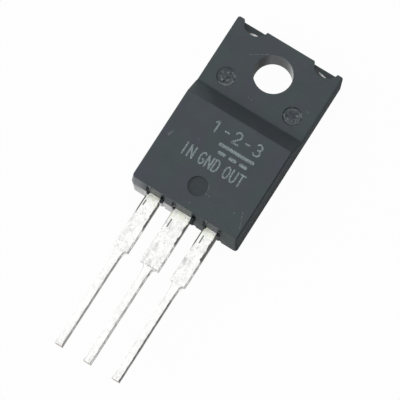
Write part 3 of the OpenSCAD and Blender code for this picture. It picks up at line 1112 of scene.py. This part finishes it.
def makePrint(settings):
    right = settings["right"]
    for name in ("pinNumbers", "currentSign", "pinFunctions"):
        row = settings[name]
        strokes = textStrokes(row, right) if "text" in row else currentStrokes(row, right)
        linkMesh(name, strokesMesh(name, strokes, row["stroke"], settings), ink)


makePrint(printSettings)
print("print made")


def ejectorPoints(place, settings):
    # Polar height field: a sunk floor with slow bumps, a raised ring near its edge, and a skirt
    # that goes down into the body so that the disc is closed
    share = np.linspace(0, 1, settings["rings"])[:, None]
    turn = np.linspace(0, 2 * math.pi, settings["spokes"], endpoint=False)[None, :]
    r = settings["radius"] * share
    x = r * np.cos(turn)
    y = r * np.sin(turn)
    broad = np.sin(x * 9 + 3 * y + place[0]) * np.sin(y * 11 - 2 * x)
    fine = np.sin(17 * x + 5) * np.sin(19 * y)
    bumps = settings["bumps"] * (broad + 0.6 * fine)
    ring = np.exp(-((r - settings["rimRadius"]) / settings["rimWidth"]) ** 2)
    edge = np.clip((1 - share) / settings["edge"], 0, 1)
    z = tabTop - settings["floor"] * edge + settings["rim"] * ring + bumps * edge
    top = np.stack([x + place[0], y + place[1], z + 0 * turn], axis=-1)
    skirt = top[-1:].copy()
    skirt[..., 2] = tabTop - settings["skirt"]
    return np.concatenate([top, skirt])


def makeEjectorMarks(settings):
    for side, place in zip(("left", "right"), settings["places"]):
        name = side + "EjectorMark"
        mesh = gridMesh(name, ejectorPoints(place, settings))
        shell = bmesh.new()
        shell.from_mesh(mesh)
        bmesh.ops.remove_doubles(shell, verts=shell.verts, dist=weldDistance * mm)
        shell.to_mesh(mesh)
        shell.free()
        linkMesh(name, outwards(mesh, settings["sharpAngle"]), roughResin)


makeEjectorMarks(ejectorSettings)
print("ejector marks made")


# Flash: crumbs of resin that squeezed out beside the leads and weren't trimmed
flashSettings = {
    "level": 2.74,
    "lumps": [
        ((0.87, -13.08), (0.16, 0.29, 0.26)),
        ((-1.93, -13.00), (0.15, 0.17, 0.25)),
        ((-3.14, -13.00), (0.13, 0.12, 0.25)),
        ((-0.84, -12.98), (0.12, 0.09, 0.22)),
        ((3.13, -12.99), (0.12, 0.10, 0.24)),
        ((1.93, -12.98), (0.10, 0.08, 0.20)),
    ],
    "squareness": 0.45,
    "poleGap": 0.05,
    "ripples": (0.07, 0.05),
    "rings": 16,
    "spokes": 32,
    "sharpAngle": 60,
}


def lumpPoints(place, halfSize, settings):
    # Superellipsoid: sines and cosines of both angles are raised to a power below 1, which makes
    # the ball boxy, and two slow ripples roughen it
    steepest = math.pi / 2 - settings["poleGap"]
    rise = np.linspace(-steepest, steepest, settings["rings"])[:, None]
    turn = np.linspace(0, 2 * math.pi, settings["spokes"], endpoint=False)[None, :]
    waves = (np.cos(rise), np.sin(rise), np.cos(turn), np.sin(turn))
    reach, up, across, along = [np.sign(w) * np.abs(w) ** settings["squareness"] for w in waves]
    slow, quick = settings["ripples"]
    ripple = 1 + slow * np.sin(3 * turn + 9 * place[0]) * np.sin(4 * rise)
    ripple = ripple + quick * np.sin(7 * turn - 5 * rise)
    x = place[0] + halfSize[0] * reach * across * ripple
    y = place[1] + halfSize[1] * reach * along * ripple
    z = settings["level"] + halfSize[2] * (up + 0 * turn)
    return np.stack([x, y, z], axis=-1)


def makeFlash(settings):
    for number, (place, halfSize) in enumerate(settings["lumps"]):
        mesh = gridMesh("flash", lumpPoints(place, halfSize, settings))
        linkMesh(f"flash{number + 1}", outwards(mesh, settings["sharpAngle"]), resin)


makeFlash(flashSettings)
print("flash made")


# Carried-over nodes keep their shape and get their finish
nodeFinish = {
    "header_ground_lead": tin,
    "input_lead": tin,
    "output_lead": tin,
    "regulator_die": silicon,
    "die_attach_solder": solder,
    "input_bond_wire": wire,
    "output_bond_wire": wire,
    "ground_bond_wire": wire,
}
for nodeName, material in nodeFinish.items():
    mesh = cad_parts[nodeName].data
    mesh.materials.clear()
    mesh.materials.append(material)
print("nodes dressed")


# Stage: pale floor and soft studio light
stageSettings = {
    "floorSize": 3000,
    "floorDrop": 0.02,
    "floorColour": (0.70, 0.70, 0.70),
    "shownWhite": 0.97,
    "worldStrength": 0.34,
    "lamps": {
        "overheadLight": {"place": (-60, 90, 620), "size": 760, "power": 1.3},
        "keyLight": {"place": (-330, -260, 260), "size": 240, "power": 0.55},
        "sideLight": {"place": (-460, -60, 250), "size": 620, "power": 0.87},
    },
}


def makeFloor(settings):
    # white to the camera and to mirrors, with the part's soft shadow left on it
    half = settings["floorSize"] / 2
    drop = -settings["floorDrop"]
    plan = ((-half, -half), (half, -half), (half, half), (-half, half))
    square = np.array([(x, y, drop) for x, y in plan])
    mesh = bpy.data.meshes.new("floor")
    mesh.from_pydata((square * mm).tolist(), [], [(0, 1, 2, 3)])
    shade = Shade("floorPaint")
    matte = shade.node("ShaderNodeBsdfDiffuse", {}, {"Color": opaque(settings["floorColour"])})
    glow = shade.node("ShaderNodeEmission", {}, {"Color": opaque((1, 1, 1)), "Strength": 1.0})
    ray = shade.node("ShaderNodeLightPath", output="Is Camera Ray")
    mirror = Flow(shade, ray.socket.node.outputs["Is Glossy Ray"])
    share = shade.larger(ray, mirror) * settings["shownWhite"]
    mixed = shade.node("ShaderNodeMixShader", {}, {0: share, 1: matte, 2: glow})
    shade.node("ShaderNodeOutputMaterial", {}, {"Surface": mixed})
    mesh.materials.append(shade.material)
    floor = bpy.data.objects.new("floor", mesh)
    bpy.context.scene.collection.objects.link(floor)


def makeLight(settings):
    world = bpy.data.worlds.new("studio")
    world.use_nodes = True
    sky = world.node_tree.nodes["Background"]
    sky.inputs["Color"].default_value = (1, 1, 1, 1)
    sky.inputs["Strength"].default_value = settings["worldStrength"]
    bpy.context.scene.world = world
    for name, values in settings["lamps"].items():
        lamp = bpy.data.lights.new(name, "AREA")
        lamp.shape = "DISK"
        lamp.size = values["size"] * mm
        lamp.energy = values["power"]
        light = bpy.data.objects.new(name, lamp)
        place = np.array(values["place"], float)
        light.location = place * mm
        tilt = math.atan2(math.hypot(place[0], place[1]), place[2])
        light.rotation_euler = (tilt, 0, math.atan2(place[0], -place[1]))
        bpy.context.scene.collection.objects.link(light)


makeFloor(stageSettings)
makeLight(stageSettings)
bpy.context.scene.view_settings.view_transform = "Standard"
print("stage set")
